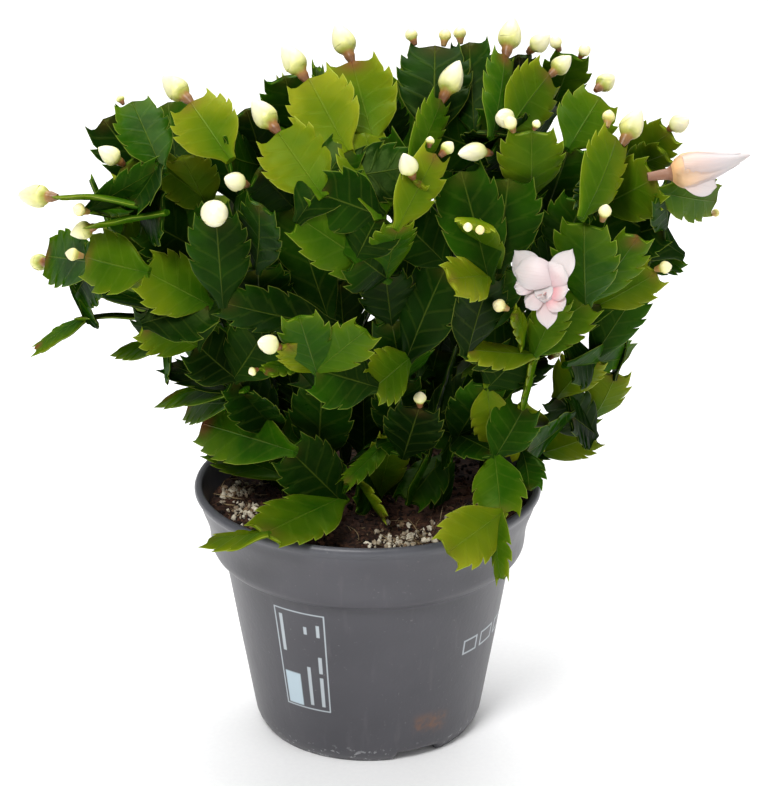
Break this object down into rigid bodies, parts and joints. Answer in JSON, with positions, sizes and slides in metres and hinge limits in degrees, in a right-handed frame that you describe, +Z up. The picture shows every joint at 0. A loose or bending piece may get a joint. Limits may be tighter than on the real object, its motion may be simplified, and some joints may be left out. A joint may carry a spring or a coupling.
{
  "type": "potted christmas cactus",
  "caption": "Potted holiday cactus: arching strings of flat toothed stem segments tipped with pale buds and open flowers, rooted in a round plastic nursery pot.",
  "frame": {"origin": "centre of the pot's base, on the plane it stands on", "axes": "+Z up along the pot's axis, -Y towards the front of the plant, +X to the right as seen from the front"},
  "size_m": [0.2538, 0.1936, 0.2792],
  "materials": {
    "pot_plastic": "grey semi-matte moulded plastic",
    "potting_mix": "rough dark peat and bark with pale grains",
    "stem": "waxy green, slightly glossy",
    "bud": "cream, soft sheen, browner at the foot",
    "petal": "white to pale pink, silky"
  },
  "bodies": {
    "root": {"bud_01": "bud", "bud_02": "bud", "bud_03": "bud", "bud_04": "bud", "bud_05": "bud", "bud_06": "bud", "bud_07": "bud", "bud_08": "bud", "bud_09": "bud", "bud_10": "bud", "bud_11": "bud", "bud_12": "bud", "bud_13": "bud", "bud_14": "bud", "bud_15": "bud", "bud_16": "bud", "bud_17": "bud", "bud_18": "bud", "bud_19": "bud", "bud_20": "bud", "bud_21": "bud", "bud_22": "bud", "bud_23": "bud", "bud_24": "bud", "bud_25": "bud", "bud_26": "bud", "bud_27": "bud", "bud_28": "bud", "bud_29": "bud", "bud_30": "bud", "bud_31": "bud", "bud_32": "bud", "bud_33": "bud", "bud_34": "bud", "bud_35": "bud", "bud_36": "bud", "bud_37": "bud", "bud_38": "bud", "bud_39": "bud", "bud_40": "bud", "bud_41": "bud", "bud_42": "bud", "bud_43": "bud", "bud_44": "bud", "bud_45": "bud", "bud_46": "bud", "bud_47": "bud", "bud_48": "bud", "bud_49": "bud", "cutting_front": "stem", "cutting_front_left": "stem", "cutting_front_right": "stem", "cutting_left": "stem", "cutting_rear_left": "stem", "cutting_rear_right": "stem", "cutting_right": "stem", "flower_front": "petal", "flower_right": "petal", "pot": "pot_plastic", "potting_mix": "potting_mix"}
  },
  "joints": []
}
